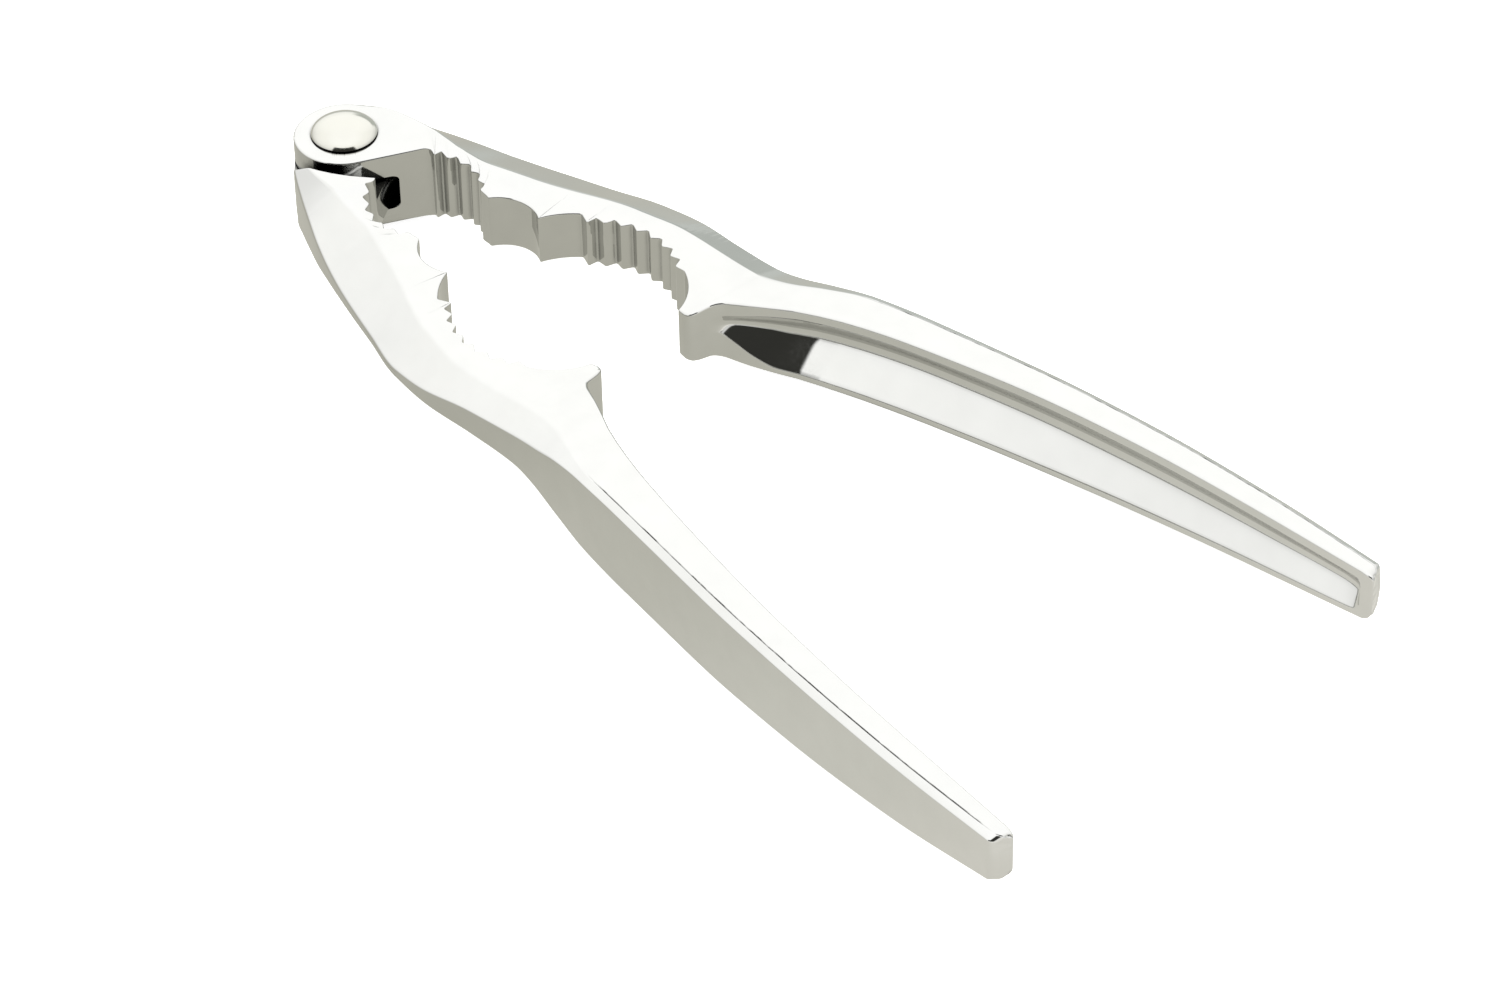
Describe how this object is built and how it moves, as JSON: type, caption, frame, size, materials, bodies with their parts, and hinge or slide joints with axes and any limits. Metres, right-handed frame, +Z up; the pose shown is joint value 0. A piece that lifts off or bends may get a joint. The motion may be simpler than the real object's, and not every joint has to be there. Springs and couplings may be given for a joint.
{
  "type": "lever nutcracker",
  "caption": "Hand nutcracker: a forked and a tongued cast arm turn on one rivet, with toothed hollows for small and large nuts and long hollowed handles.",
  "frame": {"origin": "on the surface that the nutcracker lies on, under the middle of its whole box", "axes": "+X from the rivet towards the handle tips, +Y towards the forked arm, +Z up along the rivet towards its domed head"},
  "size_m": [0.165, 0.0708, 0.015],
  "materials": {
    "arm_chrome": "bright polished plating over a zinc casting",
    "rivet_nickel": "polished nickel plating, a little warmer than the arms"
  },
  "bodies": {
    "fork": {"fork_arm": "arm_chrome", "pivot_rivet": "rivet_nickel"},
    "tongue": {"tongue_arm": "arm_chrome"}
  },
  "joints": [
    {"name": "arm_hinge", "type": "hinge", "parent": "fork", "child": "tongue", "pos_m": [-0.07555, 0.00027, 0.00665], "axis": [0, 0, -1], "range_deg": [-14.4, 90]}
  ]
}
